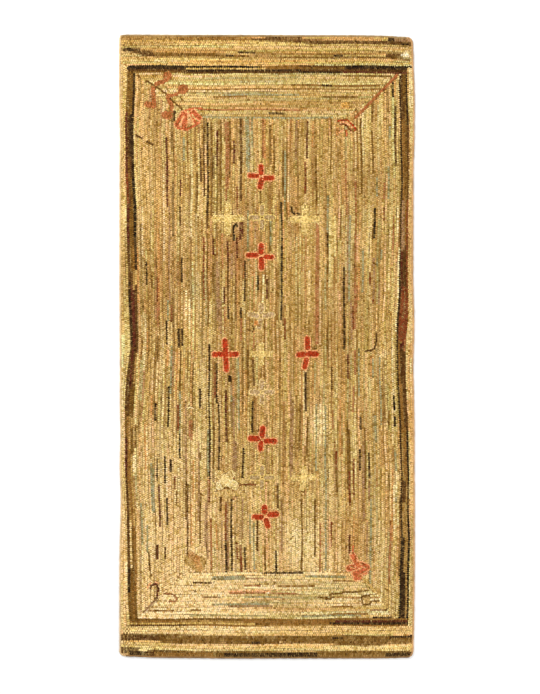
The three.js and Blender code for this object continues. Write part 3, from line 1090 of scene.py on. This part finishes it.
def flower_loops():
    petals = np.concatenate([row for petal in PETALS for row in petal_loops(*petal)])
    strokes = np.concatenate([row for stroke in STROKES for row in stroke_loops(*stroke)])
    loops = np.concatenate([make_room(petals, strokes, STROKE_ROOM), strokes])
    fade = np.minimum(rng.normal(0, MOTIF_FADE, len(loops)), PALEST_LOOP)
    loops["colour"] = faded(loops["colour"], fade)
    return loops


def edging_rows():
    edged = [petal for petal in PETALS if petal[0] in EDGING]
    return np.concatenate([edging_loops(EDGING[colour], *shape) for colour, *shape in edged])


def nearest_gap(loops, others):
    """How far each loop is from the nearest of the others, and which one that is."""
    tree = KDTree(len(others))
    for number, place in enumerate(zip(others["x"], others["y"])):
        tree.insert((*place, 0), number)
    tree.balance()
    found = [tree.find((x, y, 0)) for x, y in zip(loops["x"], loops["y"])]
    return np.array([one[2] for one in found]), np.array([one[1] for one in found])


def edge_loops(others):
    """One row right round, inside the binding, each loop in the colour of the row that it ends."""
    ring = np.vstack([OUTLINE_PX[-1:], OUTLINE_PX, OUTLINE_PX[:2]])
    inner = beside(ring, -EDGE_ROW_INSET)[1:-1]
    loops = row_of_loops(inner, "tan", EDGE_ROW_WIDTH)
    loops["lift"] = EDGE_ROW_LIFT
    _, nearest = nearest_gap(loops, others)
    loops["colour"] = others["colour"][nearest]
    return loops


def make_room(loops, others, reach):
    """Leaves out the loops that lie where the others are hooked."""
    gap, _ = nearest_gap(loops, others)
    return loops[gap > reach]


# One loop, as shares of its length, height and width at five points along and three across
ALONG = np.array([-1.0, -0.86, 0.0, 0.86, 1.0])
ARCH = np.array([0.0, 0.66, 1.0, 0.66, 0.0])
ACROSS = np.array([-1.0, 0.0, 1.0])
CROWN_DROP = 0.26
LOOP_POINTS = len(ALONG) * len(ACROSS)

# Painted shade: how a loop's colour darkens down its arch and toward its edges
DEPTH_SHADE = np.array([0.36, 0.82, 1.0, 0.82, 0.36])
EDGE_SHADE = np.array([0.80, 1.0, 0.80])

# How loops differ from one another: shares of length and width, scatter in metres, and turn in radians
LOOP_LENGTHS = (0.94, 1.08)
LOOP_WIDTHS = (0.97, 1.13)
TOP_SCATTER = 0.00035
CROWN_SCATTER = 0.0005
PLACE_SCATTER = 0.00025
LOOP_LEAN = 0.10
LEAN_SCATTER = 0.22
# Random fading of each loop: partly the rag's own fading, and partly painted shade where a darker loop
# stands for one sunk low in the pile
LOOP_FADE_AND_SHADE = 0.25
PALEST_LOOP = 0.04
LOOP_TINTS = (0.015, 0.05)
LOOP_WEAR = 0.07

# Light reaches deeper between pale loops, so they look more even than dark ones
DEEP_RAG = 1.35
PALE_RELIEF = 1.0
DEPTH_LIMITS = (0.6, 1.15)
PALE_FILL = 0.25

# The dark rags are of heavier cloth, which spreads and stands higher
HEAVY_RAG = 0.12
HEAVY_SPREAD = 0.20
HEAVY_LIFT = 0.0005

# Loops shade one another, so the rags are brighter than they look
SHADE_CONTRAST = 1.12
SHADE_GAIN = np.array([1.46, 1.60, 1.94])

# The share of its own cell that each loop fills on the texture map, to either side of the middle
CELL_FILL = 0.42


def each(values):
    """One value for each loop, ready to spread over its points."""
    return values[:, None, None]


def pile_mesh(name, loops):
    """One mesh of loops, each an arch of rag strip."""
    count = len(loops)
    length = loops["length"] * rng.uniform(*LOOP_LENGTHS, count) / 2
    heavy = np.clip(1 - loops["colour"].mean(axis=1) / HEAVY_RAG, 0, 1)
    width = loops["width"] * (rng.uniform(*LOOP_WIDTHS, count) + HEAVY_SPREAD * heavy) / 2
    top = PILE_TOP + loops["lift"] + HEAVY_LIFT * heavy + rng.normal(0, TOP_SCATTER, count)
    lean_along = rng.normal(0, CROWN_SCATTER, count)
    lean_across = rng.normal(0, CROWN_SCATTER, count)
    turn = loops["heading"] + rng.normal(LOOP_LEAN, LEAN_SCATTER, count)
    middle_x = (loops["x"] - RUG_MIDDLE[0]) * PIXEL + rng.normal(0, PLACE_SCATTER, count)
    middle_y = (RUG_MIDDLE[1] - loops["y"]) * PIXEL + rng.normal(0, PLACE_SCATTER, count)

    worn = lerp(loops["colour"], COLOUR["tan"], np.abs(rng.normal(0, LOOP_WEAR, count))[:, None])
    depth = np.clip(DEEP_RAG - PALE_RELIEF * worn.mean(axis=1), *DEPTH_LIMITS)
    root = lerp(LOOP_ROOT, FOUNDATION_TOP, np.clip((1 - depth) / PALE_FILL, 0, 1))

    arch = ARCH[:, None] * (1 - CROWN_DROP * ACROSS**2)
    ahead = ALONG[:, None] * each(length) + each(lean_along) * arch
    aside = ACROSS * each(width) + each(lean_across) * arch
    cos, sin = each(np.cos(turn)), each(np.sin(turn))
    points = np.stack([
        each(middle_x) + ahead * cos - aside * sin,
        each(middle_y) + ahead * sin + aside * cos,
        each(root) + each(top - root) * arch,
    ], axis=-1)

    # The random fade darkens some loops as painted shade of low loops, besides the rags' own fading and
    # tints
    rag = tinted(faded(worn, np.minimum(rng.normal(0, LOOP_FADE_AND_SHADE * depth), PALEST_LOOP)), LOOP_TINTS)
    # Painted shade: each loop's points darken toward its roots and edges, less on pale rags
    shade = (DEPTH_SHADE[:, None] * EDGE_SHADE) ** each(depth)
    colours = (SHADE_GAIN * rag**SHADE_CONTRAST)[:, None, None, :] * shade[..., None]

    corner = np.arange(LOOP_POINTS).reshape(len(ALONG), len(ACROSS))
    sides = [corner[:-1, :-1], corner[1:, :-1], corner[1:, 1:], corner[:-1, 1:]]
    quads = np.stack(sides, axis=-1).reshape(-1, 4)
    faces = (each(np.arange(count)) * LOOP_POINTS + quads).reshape(-1, 4)
    mesh = mesh_from(name, points.reshape(-1, 3), faces)
    paint_points(mesh, "rag_colour_and_shade", np.clip(colours.reshape(-1, 3), 0, 1))
    lay_out_cells(mesh, count, faces)
    return mesh


def mesh_from(name, points, quads):
    mesh = bpy.data.meshes.new(name)
    mesh.vertices.add(len(points))
    mesh.vertices.foreach_set("co", np.ascontiguousarray(points, dtype=np.float32).ravel())
    mesh.loops.add(quads.size)
    mesh.loops.foreach_set("vertex_index", np.ascontiguousarray(quads, dtype=np.int32).ravel())
    mesh.polygons.add(len(quads))
    mesh.polygons.foreach_set("loop_start", np.arange(0, quads.size, 4, dtype=np.int32))
    mesh.polygons.foreach_set("use_smooth", np.ones(len(quads), dtype=bool))
    mesh.update(calc_edges=True)
    mesh.validate()
    return mesh


def paint_points(mesh, name, colours):
    """Gives each point of a mesh its own colour."""
    rgba = np.ones((len(colours), 4), dtype=np.float32)
    rgba[:, :3] = colours
    layer = mesh.attributes.new(name, "FLOAT_COLOR", "POINT")
    layer.data.foreach_set("color", rgba.ravel())


def lay_out_cells(mesh, count, faces):
    """A texture map with one small cell for each loop, so that none share a place on it."""
    side = math.ceil(math.sqrt(count))
    number = np.arange(count)
    cell = np.stack([number % side, number // side], axis=-1)[:, None, None, :]
    along, across = np.meshgrid(np.linspace(-1, 1, len(ALONG)), ACROSS, indexing="ij")
    within = 0.5 + CELL_FILL * np.stack([along, across], axis=-1)[None]
    places = ((cell + within) / side).reshape(-1, 2)
    layer = mesh.uv_layers.new(name="OFBake")
    layer.data.foreach_set("uv", np.ascontiguousarray(places[faces.ravel()], dtype=np.float32).ravel())


# Materials, with thread pitches and runs in metres, and the length of one wave at a scale of 1
WAVE_LENGTH = math.tau / 20
NOISE_RANGE = (0.3, 0.7)
BURLAP_PITCH = 0.0024
BACK_RUN = 0.045
TAPE_THREAD = 0.0007

# The rags that show through the back: where each lies in the noise
BACK_RAGS = [(0.34, "dark_umber"), (0.48, "khaki"), (0.66, "straw")]


class Surface:
    """A new material, with short ways to add what its look is made of."""

    def __init__(self, name):
        self.material = bpy.data.materials.new(name)
        self.material.use_nodes = True
        self.shader = self.material.node_tree.nodes["Principled BSDF"]

    def feed(self, node, inputs):
        """Links each named or numbered input of a node to a socket, or sets it to a constant."""
        for key, value in inputs.items():
            if isinstance(value, bpy.types.NodeSocket):
                self.material.node_tree.links.new(value, node.inputs[key])
            else:
                node.inputs[key].default_value = value

    def add(self, kind, output, inputs, **settings):
        """Adds a node and returns one of its outputs."""
        node = self.material.node_tree.nodes.new("ShaderNode" + kind)
        for name, value in settings.items():
            setattr(node, name, value)
        self.feed(node, inputs)
        return node.outputs[output]

    def place(self):
        return self.add("TexCoord", "Object", {})

    def painted(self, name):
        return self.add("Attribute", "Color", {}, attribute_name=name)

    def noise(self, place, scale, detail):
        return self.add("TexNoise", "Fac", {"Vector": place, "Scale": scale, "Detail": detail})

    def tone(self, value, darkest, lightest):
        """Turns a noise into a factor for a colour."""
        low, high = NOISE_RANGE
        inputs = {"Value": value, "From Min": low, "From Max": high, "To Min": darkest, "To Max": lightest}
        return self.add("MapRange", "Result", inputs)

    def multiply(self, colour, factor):
        return self.add("VectorMath", "Vector", {0: colour, 1: factor}, operation="MULTIPLY")

    def threads(self, place, direction, pitch):
        """Rounded threads side by side, as a height from 0 to 1."""
        inputs = {"Vector": place, "Scale": WAVE_LENGTH / pitch, "Distortion": 0.6, "Detail": 1}
        return self.add("TexWave", "Fac", inputs, bands_direction=direction)

    def weave(self, place, pitch):
        """The height of a plain weave: the higher of its warp and weft."""
        warp, weft = [self.threads(place, direction, pitch) for direction in "XY"]
        return self.add("Math", "Value", {0: warp, 1: weft}, operation="MAXIMUM")

    def finish(self, height, strength, distance, **inputs):
        """Adds a relief and sets the shader's own inputs, with _ for each space in their names."""
        relief = self.add("Bump", "Normal", {"Height": height, "Strength": strength, "Distance": distance})
        self.feed(self.shader, {"Normal": relief})
        self.feed(self.shader, {name.replace("_", " "): value for name, value in inputs.items()})
        return self.material


def rag_material():
    """Worn wool and cotton strips: the strip's colour with each loop's painted shade, mottled by fibres,
    with a soft nap.
    """
    rag = Surface("rag_loops")
    place = rag.place()
    fibre = rag.noise(place, scale=1400, detail=3)
    tweed = rag.noise(place, scale=330, detail=2)
    # The painted colour holds each loop's painted shade as well as its rag
    dyed_and_shaded = rag.multiply(rag.painted("rag_colour_and_shade"), rag.tone(fibre, darkest=0.82, lightest=1.16))
    dyed_and_shaded = rag.multiply(dyed_and_shaded, rag.tone(tweed, darkest=0.66, lightest=1.26))
    return rag.finish(
        height=fibre,
        strength=0.5,
        distance=0.0005,
        Base_Color=dyed_and_shaded,
        Roughness=0.94,
        Specular_IOR_Level=0.06,
        Sheen_Weight=0.04,
        Sheen_Roughness=0.5,
    )


def burlap_material():
    """Coarse burlap, with the backs of the hooked rows showing as short coloured runs."""
    burlap = Surface("burlap")
    place = burlap.place()
    cloth = burlap.weave(place, BURLAP_PITCH)
    rows = burlap.add("Mapping", "Vector", {"Vector": place, "Scale": (1 / ROW_PITCH, 1 / BACK_RUN, 1)})
    dye = burlap.add("ValToRGB", "Color", {"Fac": burlap.noise(rows, scale=1, detail=2)})
    stops = dye.node.color_ramp.elements
    stops.new(BACK_RAGS[1][0])
    for stop, (position, rag) in zip(stops, BACK_RAGS):
        stop.position = position
        stop.color = (*COLOUR[rag], 1)
    woven = burlap.multiply(dye, burlap.tone(cloth, darkest=0.55, lightest=1.0))
    return burlap.finish(
        height=cloth,
        strength=0.8,
        distance=0.0006,
        Base_Color=woven,
        Roughness=0.95,
        Specular_IOR_Level=0.06,
    )


def tape_material():
    """Twilled cotton tape, soiled and faded unevenly along its length."""
    tape = Surface("binding_tape")
    place = tape.place()
    cloth = tape.weave(place, TAPE_THREAD)
    soil = tape.noise(place, scale=26, detail=4)
    cotton = tape.multiply(tape.painted("tape_colour"), tape.tone(cloth, darkest=0.70, lightest=1.05))
    cotton = tape.multiply(cotton, tape.tone(soil, darkest=0.70, lightest=1.22))
    return tape.finish(
        height=cloth,
        strength=0.6,
        distance=0.0003,
        Base_Color=cotton,
        Roughness=0.9,
        Specular_IOR_Level=0.1,
    )


def thread_material():
    """Waxed linen thread with its twist."""
    thread = Surface("sewing_thread")
    twist = thread.noise(thread.place(), scale=2600, detail=1)
    linen = thread.multiply(COLOUR["mauve"], thread.tone(twist, darkest=0.6, lightest=1.2))
    return thread.finish(height=twist, strength=0.5, distance=0.0002, Base_Color=linen, Roughness=0.7)


def add_object(name, data):
    added = bpy.data.objects.new(name, data)
    bpy.context.scene.collection.objects.link(added)
    return added


def add_piece(name, mesh, material):
    piece = add_object(name, mesh)
    mesh.materials.append(material)
    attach(piece, "root")
    return piece


def build_pile():
    upright = upright_loops()
    level = level_loops()
    flowers = flower_loops()
    edging = make_room(edging_rows(), flowers, PETAL_ROOM)
    edge = edge_loops(np.concatenate([upright, level]))
    for others, room in ((flowers, FLOWER_ROOM), (edging, EDGING_ROOM), (edge, EDGE_ROW_ROOM)):
        upright = make_room(upright, others, room)
        level = make_room(level, others, room)
    x = upright["chart_x"]
    lower = level["chart_y"] > RUG_MIDDLE[1]
    first_split, second_split = PIECE_SPLITS
    parts = {
        "pile_left_side": upright[x < FIELD_LEFT],
        "pile_field_left": upright[(x >= FIELD_LEFT) & (x < first_split)],
        "pile_field_middle": upright[(x >= first_split) & (x < second_split)],
        "pile_field_right": upright[(x >= second_split) & (x < FIELD_RIGHT)],
        "pile_right_side": upright[x >= FIELD_RIGHT],
        "pile_top_end": level[~lower],
        "pile_bottom_end": level[lower],
        "pile_flowers": np.concatenate([flowers, edging]),
        "pile_edge_row": edge,
    }
    rag = rag_material()
    return [add_piece(name, pile_mesh(name, loops), rag) for name, loops in parts.items()]


def build_foundation():
    """The burlap under the loops, a thin closed sheet with the pile's outline."""
    count = len(OUTLINE)
    low = np.column_stack([OUTLINE, np.zeros(count)])
    high = np.column_stack([OUTLINE, np.full(count, FOUNDATION_TOP)])
    mesh = bpy.data.meshes.new("foundation")
    ring = range(count)
    sides = [(i, (i + 1) % count, count + (i + 1) % count, count + i) for i in ring]
    faces = [tuple(reversed(ring)), tuple(count + i for i in ring), *sides]
    mesh.from_pydata(np.vstack([low, high]).tolist(), [], faces)
    mesh.update()
    piece = add_piece("foundation", mesh, burlap_material())
    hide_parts("rug_body")
    return piece


def edge_stations():
    """Even stations round the pile's edge: places, ways out and distances travelled, in metres."""
    closed = np.vstack([OUTLINE, OUTLINE[:1]])
    travelled = distances(closed)
    count = round(travelled[-1] / TAPE_STEP)
    stations = np.arange(count) * travelled[-1] / count
    places = np.column_stack([np.interp(stations, travelled, closed[:, axis]) for axis in range(2)])
    ahead = np.roll(places, -1, axis=0) - np.roll(places, 1, axis=0)
    ahead /= np.linalg.norm(ahead, axis=1, keepdims=True)
    return places, np.column_stack([ahead[:, 1], -ahead[:, 0]]), stations


def side_of(places):
    """Which strip of binding each station belongs to. The long strips turn the corners."""
    sides = np.where(places[:, 0] > 0, "binding_right", "binding_left").astype(object)
    for name, sign in (("binding_top", 1), ("binding_bottom", -1)):
        low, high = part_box(name)
        between = (places[:, 0] > low[0]) & (places[:, 0] < high[0])
        at_end = places[:, 1] * sign > abs(low[1] + high[1]) / 2 - END_REACH
        sides[between & at_end] = name
    return sides


def run_of(sides, name):
    """The stations of one strip in order, and the one where the next strip starts."""
    own = np.flatnonzero(sides == name)
    jump = np.flatnonzero(np.diff(own) > 1)
    own = np.roll(own, -(jump[0] + 1)) if len(jump) else own
    return np.append(own, (own[-1] + 1) % len(sides))


def tape_mesh(name, places, outward, stations):
    section = np.array(TAPE_SECTION)
    count, around = len(places), len(section)
    pulls = np.sin(stations * math.tau / STITCH_STEP) + rng.normal(0, PUCKER_SCATTER, count)
    pucker = TAPE_PUCKER * pulls
    out = section[None, :, 0] + pucker[:, None] * (section[:, 1] > TAPE_FLAT)
    up = section[None, :, 1] + PUCKER_RISE * pucker[:, None] * (section[:, 1] > TAPE_SHOULDER)
    points = np.dstack([
        places[:, None, 0] + outward[:, None, 0] * out,
        places[:, None, 1] + outward[:, None, 1] * out,
        up,
    ])
    number = np.arange(count * around).reshape(count, around)
    following = np.roll(number, -1, axis=1)
    quads = np.stack([number[:-1], number[1:], following[1:], following[:-1]], axis=-1).reshape(-1, 4)
    caps = [tuple(number[0].tolist()), tuple(number[-1, ::-1].tolist())]
    mesh = bpy.data.meshes.new(name)
    mesh.from_pydata(points.reshape(-1, 3).tolist(), [], [*map(tuple, quads.tolist()), *caps])
    mesh.polygons.foreach_set("use_smooth", np.ones(len(mesh.polygons), dtype=bool))
    cotton = faded(to_linear(TAPE_COLOURS[name]), rng.normal(0, TAPE_FADE, count))
    paint_points(mesh, "tape_colour", np.repeat(cotton, around, axis=0))
    mesh.update()
    return mesh


def stitch_mesh(places, outward, stations):
    """Slanting hem stitches that hold the tape's inner edge down."""
    count = round((stations[-1] + TAPE_STEP) / STITCH_STEP)
    pick = (np.arange(count) * len(places) / count).astype(int)
    ahead = np.column_stack([-outward[:, 1], outward[:, 0]])
    route = np.array(STITCH_ROUTE)
    turns = np.arange(STITCH_SIDES) * math.tau / STITCH_SIDES
    lean = STITCH_LEAN * np.linspace(-0.5, 0.5, len(route))
    middle = np.zeros((count, len(route), 3))
    wobble = rng.normal(0, STITCH_SCATTER, (count, 1))
    for axis in range(2):
        middle[..., axis] = (
            places[pick, None, axis]
            + outward[pick, None, axis] * (route[None, :, 0] + wobble)
            + ahead[pick, None, axis] * lean[None, :]
        )
    middle[..., 2] = route[None, :, 1]
    rings = np.repeat(middle[:, :, None, :], STITCH_SIDES, axis=2)
    rings[..., :2] += ahead[pick, None, None, :] * np.cos(turns)[None, None, :, None] * STITCH_RADIUS
    rings[..., 2] += np.sin(turns)[None, None, :] * STITCH_RADIUS
    number = np.arange(rings[..., 0].size).reshape(rings.shape[:3])
    following = np.roll(number, -1, axis=2)
    quads = np.stack([number[:, :-1], following[:, :-1], following[:, 1:], number[:, 1:]], axis=-1)
    return mesh_from("hem_stitches", rings.reshape(-1, 3), quads.reshape(-1, 4))


def build_binding():
    places, outward, stations = edge_stations()
    sides = side_of(places)
    tape = tape_material()
    strips = []
    for name in TAPE_COLOURS:
        run = run_of(sides, name)
        mesh = tape_mesh(name, places[run], outward[run], stations[run])
        strip = add_piece(name.replace("binding", "tape"), mesh, tape)
        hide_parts(name)
        strips.append(strip)
    stitches = add_piece(
        "hem_stitches",
        stitch_mesh(places, outward, stations),
        thread_material(),
    )
    return [*strips, stitches]


# Camera, light and floor, in metres and watts
FLOOR_REACH = 6.0
FLOOR_DROP = 0.0003
FLOOR_COLOUR = (0.93, 0.93, 0.92, 1)
FLOOR_ROUGHNESS = 0.9
SKY_COLOUR = (1, 1, 1, 1)
SKY_STRENGTH = 0.55
CAMERA_HEIGHT = 4.5
SENSOR_WIDTH = 36


def build_floor():
    reach = FLOOR_REACH
    corners = [(-reach, -reach), (reach, -reach), (reach, reach), (-reach, reach)]
    mesh = bpy.data.meshes.new("floor")
    mesh.from_pydata([(*corner, -FLOOR_DROP) for corner in corners], [], [range(len(corners))])
    floor = add_object("floor", mesh)
    pale = Surface("pale_floor")
    pale.feed(pale.shader, {"Base Color": FLOOR_COLOUR, "Roughness": FLOOR_ROUGHNESS})
    mesh.materials.append(pale.material)


def build_sky():
    world = bpy.data.worlds.new("studio")
    world.use_nodes = True
    background = world.node_tree.nodes["Background"]
    background.inputs["Color"].default_value = SKY_COLOUR
    background.inputs["Strength"].default_value = SKY_STRENGTH
    bpy.context.scene.world = world


def build_soft_box(name, place, size, watts):
    """A round area light that points at the middle of the rug."""
    lamp = bpy.data.lights.new(name, "AREA")
    lamp.shape = "DISK"
    lamp.size = size
    lamp.energy = watts
    box = add_object(name, lamp)
    box.location = place
    toward = -box.location.normalized()
    box.rotation_euler = toward.to_track_quat("-Z", "Y").to_euler()


def build_camera():
    """Straight above, so that the rug takes up the same pixels as in the photo."""
    lens = bpy.data.cameras.new("camera")
    lens.sensor_width = SENSOR_WIDTH
    lens.lens = SENSOR_WIDTH * CAMERA_HEIGHT / (PHOTO_HEIGHT * PIXEL)
    camera = add_object("camera", lens)
    camera.location = (
        (PHOTO_MIDDLE[0] - RUG_MIDDLE[0]) * PIXEL,
        (RUG_MIDDLE[1] - PHOTO_MIDDLE[1]) * PIXEL,
        CAMERA_HEIGHT,
    )
    bpy.context.scene.camera = camera


bpy.context.scene.view_settings.view_transform = "Standard"
build_floor()
build_sky()
build_soft_box("key_light", place=(-2.2, 2.4, 2.6), size=2.2, watts=150)
build_soft_box("fill_light", place=(2.4, -1.8, 3.0), size=3.0, watts=70)
build_camera()

pile = build_pile()
foundation = build_foundation()
binding = build_binding()
